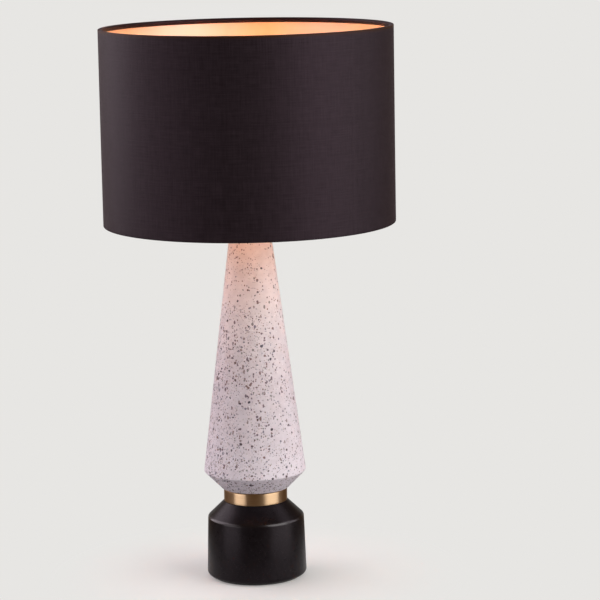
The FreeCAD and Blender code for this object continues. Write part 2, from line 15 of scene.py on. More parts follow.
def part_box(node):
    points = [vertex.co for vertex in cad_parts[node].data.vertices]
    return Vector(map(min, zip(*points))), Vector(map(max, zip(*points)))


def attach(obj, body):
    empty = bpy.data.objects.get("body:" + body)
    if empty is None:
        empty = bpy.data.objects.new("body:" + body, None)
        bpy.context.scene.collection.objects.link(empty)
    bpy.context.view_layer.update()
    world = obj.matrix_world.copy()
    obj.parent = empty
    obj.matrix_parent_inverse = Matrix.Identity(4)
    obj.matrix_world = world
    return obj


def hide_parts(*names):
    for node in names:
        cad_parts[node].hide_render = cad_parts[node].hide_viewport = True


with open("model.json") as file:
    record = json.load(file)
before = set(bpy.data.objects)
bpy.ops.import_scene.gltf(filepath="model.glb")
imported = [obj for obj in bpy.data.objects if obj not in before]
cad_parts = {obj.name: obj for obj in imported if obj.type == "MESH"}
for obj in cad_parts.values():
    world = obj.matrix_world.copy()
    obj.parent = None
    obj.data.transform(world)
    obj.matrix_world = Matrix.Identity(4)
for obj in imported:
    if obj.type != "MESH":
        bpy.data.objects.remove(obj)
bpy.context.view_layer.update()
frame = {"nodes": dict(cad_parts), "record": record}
nodes = frame["nodes"]

MM = 0.001
TAU = 2 * math.pi


# ---------------------------------------------------------------- camera
camera_distance = 3.090
camera_height = 0.8575
camera_pitch = math.radians(9.536)
camera_yaw = math.radians(1.082)
camera_roll = math.radians(-1.04)
camera_lens = 156.19         # in millimetres, as the sensor's width is
camera_sensor = 36
camera_sight = 100           # how far it sees


def make_camera():
    """Camera in front of the lamp, looking down a little and turned so that the lamp stands
    left of the middle. Its axes are forward = (sin yaw cos pitch, cos yaw cos pitch, -sin pitch),
    right = (cos yaw, -sin yaw, 0) and up = right x forward, then rolled about forward."""
    forward = Vector((math.sin(camera_yaw) * math.cos(camera_pitch),
                      math.cos(camera_yaw) * math.cos(camera_pitch),
                      -math.sin(camera_pitch)))
    right = Vector((math.cos(camera_yaw), -math.sin(camera_yaw), 0))
    up = right.cross(forward)
    turned_right = math.cos(camera_roll) * right + math.sin(camera_roll) * up
    turned_up = math.cos(camera_roll) * up - math.sin(camera_roll) * right
    data = bpy.data.cameras.new("camera")
    data.lens = camera_lens
    data.sensor_width = camera_sensor
    data.clip_end = camera_sight
    camera = bpy.data.objects.new("camera", data)
    bpy.context.scene.collection.objects.link(camera)
    axes = Matrix((turned_right, turned_up, -forward)).transposed().to_4x4()
    camera.matrix_world = Matrix.Translation((0, -camera_distance, camera_height)) @ axes
    bpy.context.scene.camera = camera


# ---------------------------------------------------------------- sizes
def span(node):
    """Largest radius, lowest and highest level of a node that is round about the lamp's axis."""
    low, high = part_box(node)
    return (high.x - low.x) / 2, low.z, high.z


# foot
foot_shoulder_height = 74.2 * MM

# cone
cone_low, cone_high = span("terrazzo_cone")[1:]
cone_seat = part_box("collar_gasket")[1].z     # where the cone's foot rests
cone_foot_radius = 40.4 * MM
cone_chamfer_height = 21.5 * MM
cone_wide_radius = 61.8 * MM
cone_top_radius = 22.9 * MM
spigot_radius = 34.4 * MM        # where the cone reaches down into the collar
spigot_bore = 30 * MM
core_top_radius = 12 * MM
core_roof = 16 * MM              # stone above the core
stem_hole_radius = 5.1 * MM      # for the threaded tube, in cone and collar

# shade
shade_radius, shade_low, shade_high = span("shade_cover")
lining_radius, lining_low, lining_high = span("shade_lining")
wire_ring_outer, wire_low, wire_high = span("bottom_wire_ring")
wire_radius = (wire_high - wire_low) / 2
wire_ring_radius = wire_ring_outer - wire_radius
cover_thickness = 0.45 * MM
lining_thickness = 0.8 * MM
edge_slack = 0.3 * MM            # of the cloth round the wires
tuck_gap = 0.1 * MM              # from the lining to the end of the turned-in cloth
upper_roll_extra = 1.5 * MM      # by which the upper roll is taller than the lower one
pucker_reach = 9 * MM
pucker_depth = 0.07 * MM
seam_angle = math.radians(96)    # just beside the rear arm
seam_width = 12 * MM
seam_slope = 1 * MM
cover_seam_step = 0.5 * MM
lining_seam_step = 0.4 * MM

# threads
ring_thread_pitch = 2.5 * MM     # holds the two shade rings
ring_thread_depth = 0.8 * MM
cap_thread_pitch = 3.63 * MM     # holds the bulb
cap_thread_depth = 0.9 * MM


# ---------------------------------------------------------------- worked surfaces
same_place = 1e-7                # points nearer than this are one
arc_step = 0.18                  # radians between the points of an arc
crisp_angle = math.radians(35)   # edges sharper than this stay crisp


def corner_arc(before, corner, after, rounding):
    """Arc that rounds a corner, as an (n, 2) array. Its centre lies on the corner's bisector, at
    the rounding over the sine of half the corner's angle, and it touches the two sides at the
    rounding over the tangent of that half."""
    back = (before - corner) / np.linalg.norm(before - corner)
    ahead = (after - corner) / np.linalg.norm(after - corner)
    half = np.arccos(np.clip(back @ ahead, -1, 1)) / 2
    bisector = (back + ahead) / np.linalg.norm(back + ahead)
    centre = corner + bisector * rounding / math.sin(half)
    first = corner + back * rounding / math.tan(half) - centre
    last = corner + ahead * rounding / math.tan(half) - centre
    start = math.atan2(first[1], first[0])
    sweep = (math.atan2(last[1], last[0]) - start + math.pi) % TAU - math.pi
    angles = start + sweep * np.linspace(0, 1, max(4, int(abs(sweep) / arc_step)))
    return centre + rounding * np.stack([np.cos(angles), np.sin(angles)], 1)


def rounded(corners, step=4 * MM):
    """Closed outline through (radius, height[, rounding]) corners as an (n, 2) array. A corner
    with a rounding is an arc, and sides longer than step are divided evenly."""
    points = np.array([corner[:2] for corner in corners], float)
    runs = []
    for i, corner in enumerate(corners):
        if len(corner) == 3:
            after = points[(i + 1) % len(points)]
            runs.append(corner_arc(points[i - 1], points[i], after, corner[2]))
        else:
            runs.append(points[i:i + 1])
    line = [runs[0]]
    for run in runs[1:] + [runs[0][:1]]:
        gap = run[0] - line[-1][-1]
        pieces = max(1, int(np.linalg.norm(gap) / step))
        share = np.arange(1, pieces)[:, None] / pieces
        line.append(line[-1][-1] + share * gap)
        line.append(run)
    path = np.concatenate(line)
    apart = np.linalg.norm(np.diff(path, axis=0), axis=1) > same_place
    return path[np.append(True, apart)][:-1]


def grid_object(name, points, uv, wrap_along):
    """Mesh object over a grid of points (around, along, 3) with matching UV (around+1, along+1, 2).

    Quad (i, j) joins the points i, i+1 around and j, j+1 along. The grid closes on itself round
    the axis, and along too where it is wrapped. Its front faces the side given by
    (d point / d around) x (d point / d along).
    """
    around, along = points.shape[:2]
    columns = np.arange(along if wrap_along else along - 1)
    i, j = np.meshgrid(np.arange(around), columns, indexing="ij")
    i, j = i.ravel(), j.ravel()
    ni, nj = (i + 1) % around, (j + 1) % along
    quads = np.stack([i * along + j, ni * along + j, ni * along + nj, i * along + nj], 1)
    mesh = bpy.data.meshes.new(name)
    mesh.vertices.add(around * along)
    mesh.vertices.foreach_set("co", points.reshape(-1).astype(np.float32))
    mesh.loops.add(quads.size)
    mesh.loops.foreach_set("vertex_index", quads.ravel().astype(np.int32))
    mesh.polygons.add(len(quads))
    mesh.polygons.foreach_set("loop_start", np.arange(0, quads.size, 4, dtype=np.int32))
    mesh.update(calc_edges=True)
    layer = mesh.uv_layers.new(name="metres")
    corners = np.stack([uv[i, j], uv[i + 1, j], uv[i + 1, j + 1], uv[i, j + 1]], 1)
    layer.data.foreach_set("uv", corners.reshape(-1).astype(np.float32))
    work = bmesh.new()
    work.from_mesh(mesh)
    bmesh.ops.remove_doubles(work, verts=work.verts, dist=same_place)
    work.to_mesh(mesh)
    work.free()
    mesh.shade_smooth()
    made = bpy.data.objects.new(name, mesh)
    bpy.context.scene.collection.objects.link(made)
    return made


def turned(name, profile, around, relief=None):
    """Surface of revolution: point(a, t) = (r cos a, r sin a, z), where (r, z) is the closed
    profile at t and relief(a, r, z) is an offset added to r. UV is metres: arc length at the
    widest radius round the piece, and length along the profile."""
    a = np.linspace(0, TAU, around, endpoint=False)[:, None]
    r = np.broadcast_to(profile[:, 0], (around, len(profile)))
    z = np.broadcast_to(profile[:, 1], (around, len(profile)))
    if relief:
        r = r + relief(a, r, z)
    points = np.stack([r * np.cos(a), r * np.sin(a), z], 2)
    ends = np.concatenate([profile, profile[:1]])
    along = np.concatenate([[0], np.cumsum(np.linalg.norm(np.diff(ends, axis=0), axis=1))])
    u = np.arange(around + 1) / around * TAU * profile[:, 0].max()
    uv = np.stack(np.broadcast_arrays(u[:, None], along[None, :]), 2)
    made = grid_object(name, points, uv, wrap_along=True)
    made.data.set_sharp_from_angle(angle=crisp_angle)
    return made


def body_of(node):
    """Name of the body that a CAD node belongs to."""
    bodies = frame["record"]["behaviour"]["bodies"]
    return next(body for body, held in bodies.items() if node in held)


def fit(made, node, finish):
    """Puts a worked piece in the place of a CAD node, on its body and finish."""
    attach(made, body_of(node))
    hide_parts(node)
    made.data.materials.append(finish)


# ---------------------------------------------------------------- shade
def seam_step(a, radius, height):
    """Height of a lapped seam at the rear: full inside the lap, falling to 0 over the slope at
    its edges, where the distance from the seam is radius times the angle to it."""
    distance = np.abs((a - seam_angle + math.pi) % TAU - math.pi) * radius
    return height * np.clip((seam_width / 2 + seam_slope - distance) / seam_slope, 0, 1)


def make_cover():
    """Fabric tube with its ends rolled round the wires: the outline runs up the outside, over
    the top wire, back down the inside of the cloth and round the lower wire. Its radius wanders
    by two slow sine waves of 3 and 5 to the turn, the first of which changes with the height.
    Near the ends, quick ones of 41, 67 and 103 to the turn pucker the rolled cloth, fading over
    their reach."""
    roll = wire_radius + edge_slack
    inside = wire_ring_radius - roll
    tuck = lining_radius - lining_thickness - tuck_gap
    fold = cover_thickness + edge_slack + wire_radius + roll
    hem = fold + upper_roll_extra
    thick = cover_thickness
    bore = shade_radius - thick
    low, high = shade_low, shade_high
    outline = rounded([
        (tuck, high - hem - thick), (tuck, high - hem), (inside, high - hem, roll),
        (inside, high - thick, roll), (bore, high - thick), (bore, low + thick),
        (inside, low + thick, roll), (inside, low + fold, roll), (tuck, low + fold),
        (tuck, low + fold + thick), (inside - thick, low + fold + thick, roll + thick),
        (inside - thick, low, roll + thick), (shade_radius, low, 2 * thick),
        (shade_radius, high, 2 * thick), (inside - thick, high, roll + thick),
        (inside - thick, high - hem - thick, roll + thick),
    ], step=6 * MM)

    def relief(a, r, z):
        edge = np.minimum(high - z, z - low)
        near = np.clip(1 - edge / pucker_reach, 0, 1)
        puckers = np.sin(67 * a) * np.sin(41 * a + 1.3) + 0.6 * np.sin(103 * a + 0.4)
        slow = 0.10 * MM * np.sin(3 * a + 0.7) * np.sin(z * 21) + 0.06 * MM * np.sin(5 * a)
        seam = (r > bore + thick / 2) * seam_step(a, shade_radius, cover_seam_step)
        return slow + pucker_depth * puckers * near + seam

    cover = turned("cover", outline, around=600, relief=relief)
    fit(cover, "shade_cover", black_cloth())


def make_lining():
    """Stiff gold panel inside the cover: a thin tube with its own lapped seam on the inside. Its
    radius wanders by two sine waves of 5 and 9 to the turn, the second of which changes with the
    height."""
    inner = lining_radius - lining_thickness
    outline = rounded([(inner, lining_low), (lining_radius, lining_low),
                       (lining_radius, lining_high), (inner, lining_high)])

    def relief(a, r, z):
        slow = 0.06 * MM * np.sin(5 * a) + 0.05 * MM * np.sin(9 * a + 2) * np.sin(z * 33)
        inward = r < inner + lining_thickness / 2
        return slow - inward * seam_step(a, inner, lining_seam_step)

    lining = turned("lining", outline, around=480, relief=relief)
    fit(lining, "shade_lining", gold_foil())


# ---------------------------------------------------------------- shader helpers
def feed(tree, made, inputs):
    """Links the named inputs of a node, or gives them plain values."""
    for socket, value in inputs.items():
        if isinstance(value, bpy.types.NodeSocket):
            tree.links.new(value, made.inputs[socket])
        else:
            made.inputs[socket].default_value = value


def add(tree, kind, inputs=None, **settings):
    """New node with its settings made and its inputs fed."""
    made = tree.nodes.new(kind)
    for key, value in settings.items():
        setattr(made, key, value)
    feed(tree, made, inputs or {})
    return made


def maths(tree, operation, *values):
    """Output of a Math node."""
    return add(tree, "ShaderNodeMath", dict(enumerate(values)), operation=operation).outputs[0]


def vectors(tree, operation, *values):
    """Output of a Vector Math node: a number for a length, distance or product, else a vector."""
    made = add(tree, "ShaderNodeVectorMath", dict(enumerate(values)), operation=operation)
    is_number = operation in ("LENGTH", "DISTANCE", "DOT_PRODUCT")
    return made.outputs["Value" if is_number else "Vector"]


def scaled(tree, vector, factor):
    """A vector or colour times a number."""
    return add(tree, "ShaderNodeVectorMath", {0: vector, "Scale": factor},
               operation="SCALE").outputs[0]


def mapped(tree, value, start, end, low=0.0, high=1.0, way="LINEAR"):
    """Number that passes from low to high while the value passes from start to end."""
    return add(tree, "ShaderNodeMapRange", {
        "Value": value, "From Min": start, "From Max": end, "To Min": low, "To Max": high},
        interpolation_type=way).outputs[0]


def eased(tree, value, start, end, low=0.0, high=1.0):
    """As mapped, but it sets off and arrives gently."""
    return mapped(tree, value, start, end, low, high, "SMOOTHSTEP")


def blend(tree, factor, first, second, way="MIX"):
    """Colour that passes with the factor from the first to the second, or to their product."""
    return add(tree, "ShaderNodeMix", {"Factor": factor, 6: first, 7: second},
               data_type="RGBA", blend_type=way).outputs[2]


def ramp(tree, value, stops, interpolation="LINEAR"):
    """Colour ramp over (place, colour) stops."""
    made = add(tree, "ShaderNodeValToRGB", {"Fac": value})
    made.color_ramp.interpolation = interpolation
    elements = made.color_ramp.elements
    while len(elements) < len(stops):
        elements.new(0.5)
    for element, (position, colour) in zip(elements, stops):
        element.position = position
        element.color = (*colour, 1)
    return made.outputs["Color"]


def noise(tree, where, scale, detail, roughness=0.5):
    """Value of a Noise Texture."""
    return add(tree, "ShaderNodeTexNoise", {
        "Vector": where, "Scale": scale, "Detail": detail, "Roughness": roughness}).outputs[0]


def bump(tree, height, distance, strength):
    """Normal from a height, in units of the given distance."""
    return add(tree, "ShaderNodeBump", {
        "Height": height, "Distance": distance, "Strength": strength}).outputs[0]


def here(tree):
    """Object coordinates, in metres."""
    return add(tree, "ShaderNodeTexCoord").outputs["Object"]


def height_of(tree, spot):
    """Height of a place above the table."""
    return add(tree, "ShaderNodeSeparateXYZ", {0: spot}).outputs[2]


def off_axis(tree, spot):
    """Level vector from the lamp's axis to a place."""
    return vectors(tree, "MULTIPLY", spot, (1, 1, 0))


def group(name, inputs, outputs):
    """Empty shader group with named sockets, its inputs as (name, kind, value). Returns the tree,
    the sockets that it is given and the node that takes its results."""
    tree = bpy.data.node_groups.new(name, "ShaderNodeTree")
    for socket, kind, value in inputs:
        made = tree.interface.new_socket(socket, in_out="INPUT", socket_type="NodeSocket" + kind)
        if value is not None:
            made.default_value = value
    for socket, kind in outputs:
        tree.interface.new_socket(socket, in_out="OUTPUT", socket_type="NodeSocket" + kind)
    given = tree.nodes.new("NodeGroupInput").outputs
    return tree, given, tree.nodes.new("NodeGroupOutput")


def place(tree, shared, inputs):
    """Outputs of a shared group placed in a material's tree."""
    return add(tree, "ShaderNodeGroup", inputs, node_tree=shared).outputs


def material(name, **values):
    """New material; returns it, its tree and its Principled shader with plain values set."""
    made = bpy.data.materials.new(name)
    made.use_nodes = True
    shader = made.node_tree.nodes["Principled BSDF"]
    for socket, value in values.items():
        shader.inputs[socket.replace("_", " ")].default_value = value
    return made, made.node_tree, shader


# ---------------------------------------------------------------- shared effects
def build_mottle():
    """Soft variation: the sum of two noises, one of them 3.1 times finer, mapped to Low..High."""
    tree, given, result = group("mottle", [
        ("Vector", "Vector", None), ("Scale", "Float", 20.0), ("Low", "Float", 0.0),
        ("High", "Float", 1.0)], [("Value", "Float")])
    broad = noise(tree, given["Vector"], given["Scale"], 4.0)
    small = noise(tree, given["Vector"], maths(tree, "MULTIPLY", given["Scale"], 3.1), 3.0)
    both = maths(tree, "ADD", broad, small)
    feed(tree, result, {"Value": mapped(tree, both, 0.75, 1.25, given["Low"], given["High"])})
    return tree


def build_chips():
    """Stones cut by the surface. A cell of a 3-D Voronoi pattern holds a stone when its random
    value is below Share. The stone is a ragged ball about the cell's point with a radius of
    Size, in cells, times 0.6 to 1.3, and is flat where it meets the next cell."""
    tree, given, result = group("chips", [
        ("Vector", "Vector", None), ("Scale", "Float", 300.0), ("Share", "Float", 0.3),
        ("Size", "Float", 0.35)], [("Mask", "Float"), ("Pick", "Float")])
    ragged = add(tree, "ShaderNodeTexNoise", {
        "Vector": given["Vector"], "Scale": maths(tree, "MULTIPLY", given["Scale"], 1.9),
        "Detail": 1.0}).outputs["Color"]
    shift = vectors(tree, "SUBTRACT", ragged, (0.5, 0.5, 0.5))
    reach = maths(tree, "DIVIDE", 0.45, given["Scale"])
    where = vectors(tree, "ADD", given["Vector"], scaled(tree, shift, reach))
    cell = add(tree, "ShaderNodeTexVoronoi", {"Vector": where, "Scale": given["Scale"]}).outputs
    parts = add(tree, "ShaderNodeSeparateColor", {"Color": cell["Color"]}).outputs
    held = maths(tree, "LESS_THAN", parts[0], given["Share"])
    radius = maths(tree, "MULTIPLY", given["Size"],
                   maths(tree, "MULTIPLY_ADD", parts[2], 0.7, 0.6))
    inside = mapped(tree, cell["Distance"], radius, maths(tree, "MULTIPLY", radius, 0.8))
    feed(tree, result, {"Mask": maths(tree, "MULTIPLY", held, inside), "Pick": parts[1]})
    return tree


def build_weave():
    """Plain weave on metre UVs: threads of one pitch both ways. On even squares the upright
    thread lies on top and on odd squares the level one; each is arched across its width and
    along its float. Thread is a random value for each thread."""
    tree, given, result = group("weave", [
        ("Vector", "Vector", None), ("Pitch", "Float", 0.4 * MM)],
        [("Height", "Float"), ("Thread", "Float")])
    parts = add(tree, "ShaderNodeSeparateXYZ", {0: given["Vector"]}).outputs
    u = maths(tree, "DIVIDE", parts[0], given["Pitch"])
    v = maths(tree, "DIVIDE", parts[1], given["Pitch"])
    column, course = maths(tree, "FLOOR", u), maths(tree, "FLOOR", v)
    odd = maths(tree, "FLOORED_MODULO", maths(tree, "ADD", column, course), 2.0)

    def arch(value):
        """1 in the middle of each thread and 0 at its sides: the size of sin(pi value)."""
        return maths(tree, "ABSOLUTE", maths(tree, "SINE", maths(tree, "MULTIPLY", value, math.pi)))

    def own_value(thread):
        """Random value of a numbered thread."""
        return add(tree, "ShaderNodeTexWhiteNoise", {"W": thread}, noise_dimensions="1D").outputs[0]

    def on_top(upright, level):
        """Value of the thread that lies on top."""
        return add(tree, "ShaderNodeMix", {"Factor": odd, "A": upright, "B": level}).outputs[0]

    upright = maths(tree, "MULTIPLY", arch(u), maths(tree, "POWER", arch(v), 0.5))
    level = maths(tree, "MULTIPLY", arch(v), maths(tree, "POWER", arch(u), 0.5))
    feed(tree, result, {"Height": on_top(upright, level),
                        "Thread": on_top(own_value(column), own_value(course))})
    return tree


def build_turned_lines():
    """Fine lines left round a turned part: noise that changes fast up the axis and slowly with
    the angle, on (cos angle, sin angle, Density times height)."""
    tree, given, result = group("turned_lines", [
        ("Vector", "Vector", None), ("Density", "Float", 3000.0)], [("Value", "Float")])
    round_axis = vectors(tree, "NORMALIZE", off_axis(tree, given["Vector"]))
    climb = maths(tree, "MULTIPLY", height_of(tree, given["Vector"]), given["Density"])
    up = add(tree, "ShaderNodeCombineXYZ", {2: climb}).outputs[0]
    lines = noise(tree, vectors(tree, "ADD", round_axis, up), 1.0, 3.0, 0.7)
    feed(tree, result, {"Value": lines})
    return tree


MOTTLE = build_mottle()
CHIPS = build_chips()
WEAVE = build_weave()
TURNED_LINES = build_turned_lines()


def mottle(tree, spot, scale, low=0.0, high=1.0):
    """Value of the mottle in a material."""
    return place(tree, MOTTLE, {"Vector": spot, "Scale": scale, "Low": low, "High": high})["Value"]


# ---------------------------------------------------------------- finish of the shade
thread_pitch = 0.42 * MM
cloth_shades = [(0.42, (0.0038, 0.0026, 0.0031)), (1.0, (0.0214, 0.0151, 0.0180))]
# painted glow: the warm light of the bulb browning the cloth's upper edge and turned-in parts
painted_glow_edge = (0.030, 0.012, 0.0015, 1)
painted_glow_edge_start = 4.5 * MM    # below the top
painted_glow_edge_full = 0.8 * MM
painted_glow_turned_in = (0.0090, 0.0028, 0.0016, 1)
painted_glow_turned_in_depth = 1.2 * MM       # inside the shade's radius, where the turned-in cloth starts


def black_cloth():
    """Closely woven black polycotton with a faint plum sheen. Each thread has a shade of its own,
    and slubs cloud it: noises drawn out along the threads both ways. The turned-in cloth and the
    upper edge carry a painted glow: browner, as the warm light of the bulb falls on them."""
    made, tree, shader = material(
        "black_cloth", Roughness=0.50, Specular_IOR_Level=0.22, Sheen_Weight=0.06,
        Specular_Tint=(1.0, 0.68, 0.88, 1), Sheen_Roughness=0.30, Sheen_Tint=(0.85, 0.52, 0.72, 1))
    flat = add(tree, "ShaderNodeUVMap", uv_map="metres").outputs[0]
    weave = place(tree, WEAVE, {"Vector": flat, "Pitch": thread_pitch})

    def slubs(across, up):
        """Noise with the given changes to the metre across and up the cloth."""
        drawn = add(tree, "ShaderNodeMapping", {"Vector": flat, "Scale": (across, up, 1)})
        return noise(tree, drawn.outputs[0], 1.0, 2.0)

    uneven = maths(tree, "ADD", slubs(700, 50), slubs(50, 700))
    mixed = maths(tree, "ADD", maths(tree, "MULTIPLY", weave["Thread"], 0.3),
                  maths(tree, "MULTIPLY", uneven, 0.6))
    spot = here(tree)
    # painted glow along the upper edge
    glow_top_edge = eased(tree, height_of(tree, spot), shade_high - painted_glow_edge_start,
                     shade_high - painted_glow_edge_full)
    radius = vectors(tree, "LENGTH", off_axis(tree, spot))
    # painted glow on the turned-in cloth, which faces the bulb
    turned_in = maths(tree, "LESS_THAN", radius, shade_radius - painted_glow_turned_in_depth)
    glow_edged = blend(tree, glow_top_edge, ramp(tree, mixed, cloth_shades), painted_glow_edge)
    relief = maths(tree, "ADD", weave["Height"], maths(tree, "MULTIPLY", mixed, 0.6))
    feed(tree, shader, {"Base Color": blend(tree, turned_in, glow_edged, painted_glow_turned_in),
                        "Normal": bump(tree, relief, 0.06 * MM, 0.5)})
    return made


gold_shades = [(0.0, (0.86, 0.56, 0.33)), (1.0, (0.92, 0.63, 0.41))]
# colour of the painted highlights on the foil
painted_highlight_colour = (0.95, 0.69, 0.64, 1)
painted_highlight_core = 0.02            # distance from a painted highlight's middle where it is palest
painted_highlight_places = [             # painted highlights where the bulb's glare falls on the foil: middle, reach and strength
    ((-0.070, 0.160, 0.640), 0.115, 0.85),
    ((0.088, 0.150, 0.640), 0.075, 0.75),
]


def gold_foil():
    """Satin gold foil laminated on the panel: faint crinkle, cloudy lustre, and paler places that
    are painted highlights of the bulb's glare.
    """
    made, tree, shader = material("gold_foil", Metallic=0.55, Specular_IOR_Level=0.5)
    spot = here(tree)
    # painted highlights: the foil pales towards its glare patches
    pale = 0.0
    for middle, reach, most in painted_highlight_places:
        away = vectors(tree, "DISTANCE", spot, middle)
        glare_patch = eased(tree, away, reach, painted_highlight_core, high=most)
        pale = maths(tree, "MAXIMUM", pale, glare_patch)
    colour = ramp(tree, mottle(tree, spot, 14.0), gold_shades)
    crinkle = noise(tree, spot, 900.0, 3.0)
    feed(tree, shader, {"Base Color": blend(tree, pale, colour, painted_highlight_colour),
                        "Roughness": mottle(tree, spot, 60.0, 0.34, 0.50),
                        "Normal": bump(tree, crinkle, 0.03 * MM, 0.35)})
    return made


# ---------------------------------------------------------------- finish of the cone
cement_shades = [(0.0, (0.735, 0.680, 0.705)), (1.0, (0.840, 0.790, 0.815))]
# painted light and shade up the cone: lighter at the foot, a darker band low down, lighter higher
# up, and a warm painted glow just under the shade
painted_light_heights = (0.11, 0.44)    # between which the painted light and shade lie
painted_light_tints = [                 # share of the way up, and the tint there
    (0.05, (1.0, 0.965, 1.0)), (0.28, (0.885, 0.842, 0.860)), (0.42, (0.860, 0.815, 0.830)),
    (0.575, (0.900, 0.870, 0.870)), (0.68, (0.950, 0.935, 0.930)), (0.79, (0.98, 0.96, 0.945)),
    (0.91, (0.95, 0.905, 0.85)),
]
# painted shade on the chamfer, which faces down
chamfer_painted_shade = (0.87, 0.87, 0.89, 1)
# extra chips darken the downward-facing chamfer as painted shade
chamfer_shade_chips = 0.4
sparse_heights = (0.325, 0.350)  # over which the chips grow sparse
sparse_share = 0.37              # of the chips that is left above
# painted highlight: chips thinned on the side that faces the right soft box, as if washed out by
# its light
painted_highlight_side = (0.82, -0.57, 0.0)
painted_highlight_facing = (0.72, 0.93)    # cosines of the angle to it, where it starts and is full
painted_highlight_chip_share = 0.52
faint_chips = [
    (0.0, (0.42, 0.35, 0.40)), (0.22, (0.46, 0.34, 0.32)), (0.40, (0.36, 0.35, 0.42)),
    (0.58, (0.47, 0.42, 0.38)), (0.76, (0.33, 0.25, 0.29)), (0.90, (0.84, 0.80, 0.82)),
]
middling_chips = [
    (0.0, (0.190, 0.130, 0.155)), (0.22, (0.235, 0.145, 0.140)), (0.40, (0.215, 0.190, 0.235)),
    (0.56, (0.290, 0.215, 0.215)), (0.70, (0.135, 0.092, 0.112)), (0.86, (0.250, 0.230, 0.225)),
]
dark_chips = [
    (0.0, (0.070, 0.045, 0.062)), (0.34, (0.125, 0.068, 0.066)), (0.56, (0.100, 0.085, 0.108)),
    (0.74, (0.180, 0.105, 0.095)), (0.88, (0.072, 0.056, 0.076)),
]


def cement(tree, spot, height, chamfered):
    """Colour of the cement: cloudy lilac grey, with painted light and shade that change up the
    cone, and painted shade on the downward-facing chamfer."""
    cloudy = ramp(tree, mottle(tree, spot, 45.0), cement_shades)
    # painted light and shade by height
    tint = ramp(tree, mapped(tree, height, *painted_light_heights), painted_light_tints)
    height_shaded = blend(tree, 1.0, cloudy, tint, "MULTIPLY")
    # painted shade on the chamfer
    chamfer_shaded = blend(tree, chamfered, (1, 1, 1, 1), chamfer_painted_shade)
    return blend(tree, 1.0, height_shaded, chamfer_shaded, "MULTIPLY")


def chip_spread(tree, spot, height, chamfered):
    """How thickly the chips lie, with 1 as plain: in drifts, more on the chamfer, where they darken
    it as painted shade, and fewer near the top and on the side that faces the right soft box,
    where the thinning is a painted highlight."""
    thinned_by_height = mapped(tree, height, *sparse_heights, 1.0, sparse_share)
    by_height = maths(tree, "MULTIPLY_ADD", chamfered, chamfer_shade_chips, thinned_by_height)
    outward = vectors(tree, "NORMALIZE", off_axis(tree, spot))
    facing = vectors(tree, "DOT_PRODUCT", outward, painted_highlight_side)
    # painted highlight: fewer chips on the side facing the right soft box
    highlight_thinning = eased(tree, facing, *painted_highlight_facing, 1.0, painted_highlight_chip_share)
    drift = mottle(tree, spot, 13.0, 0.45, 1.45)
    return maths(tree, "MULTIPLY", by_height, maths(tree, "MULTIPLY", drift, highlight_thinning))


def terrazzo():
    """Pale cement with six layers of angular stone chips, lightly pitted. The large chips are few
    and dark, the small ones many and faint, and one layer is in upright flakes, twice as tall as
    they are wide. The chips are glossier than the cement."""
    made, tree, shader = material("terrazzo", Specular_IOR_Level=0.35)
    spot = here(tree)
    height = height_of(tree, spot)
    chamfer_top = cone_seat + cone_chamfer_height - 0.5 * MM
    chamfered = maths(tree, "GREATER_THAN", chamfer_top, height)
    spread = chip_spread(tree, spot, height, chamfered)
    flaked = add(tree, "ShaderNodeMapping", {
        "Vector": spot, "Rotation": (0.35, 0.30, 0.0), "Scale": (1.0, 1.0, 0.5)}).outputs[0]
    layers = [                   # place, cells to the metre, share that holds a chip, size, colours
        (spot, 520.0, 0.72, 0.34, faint_chips), (spot, 380.0, 0.38, 0.38, middling_chips),
        (flaked, 330.0, 0.15, 0.40, middling_chips), (spot, 290.0, 0.26, 0.40, middling_chips),
        (spot, 240.0, 0.085, 0.38, dark_chips), (spot, 185.0, 0.035, 0.36, dark_chips),
    ]
    colour = cement(tree, spot, height, chamfered)
    stones = 0.0
    for where, scale, share, size, colours in layers:
        chips = place(tree, CHIPS, {"Vector": where, "Scale": scale, "Size": size,
                                    "Share": maths(tree, "MULTIPLY", spread, share)})
        chip_colour = ramp(tree, chips["Pick"], colours, "CONSTANT")
        colour = blend(tree, chips["Mask"], colour, chip_colour)
        stones = maths(tree, "MAXIMUM", stones, chips["Mask"])
    relief = maths(tree, "ADD", noise(tree, spot, 1400.0, 2.0),
                   maths(tree, "MULTIPLY", stones, 0.4))
    feed(tree, shader, {
        "Base Color": colour,
        "Roughness": maths(tree, "SUBTRACT", 0.60, maths(tree, "MULTIPLY", stones, 0.2)),
        "Normal": bump(tree, relief, 0.05 * MM, 0.4)})
    return made


# ---------------------------------------------------------------- finishes of collar and foot
brass_shades = [(0.3, (0.55, 0.370, 0.205)), (0.7, (0.67, 0.470, 0.285))]
foot_shades = [(0.0, (0.0032, 0.0023, 0.0028)), (1.0, (0.0060, 0.0044, 0.0052))]
foot_speck = (0.040, 0.034, 0.037, 1)
thick_glaze = 0.7
thick_glaze_reach = (2.4 * MM, 1.0 * MM)     # from the shoulder, where it starts and is full


def brushed_brass():
    """Satin brass, brushed round the axis while it turned in the lathe."""
    made, tree, shader = material("brushed_brass", Metallic=1.0, Anisotropic=0.35,
                                  Anisotropic_Rotation=0.25, Coat_Weight=0.5, Coat_Roughness=0.25)
    lines = place(tree, TURNED_LINES, {"Vector": here(tree), "Density": 4200.0})["Value"]
    feed(tree, shader, {"Base Color": ramp(tree, lines, brass_shades),
                        "Roughness": mapped(tree, lines, 0.0, 1.0, 0.26, 0.32),
                        "Normal": bump(tree, lines, 0.02 * MM, 0.25)})
    return made


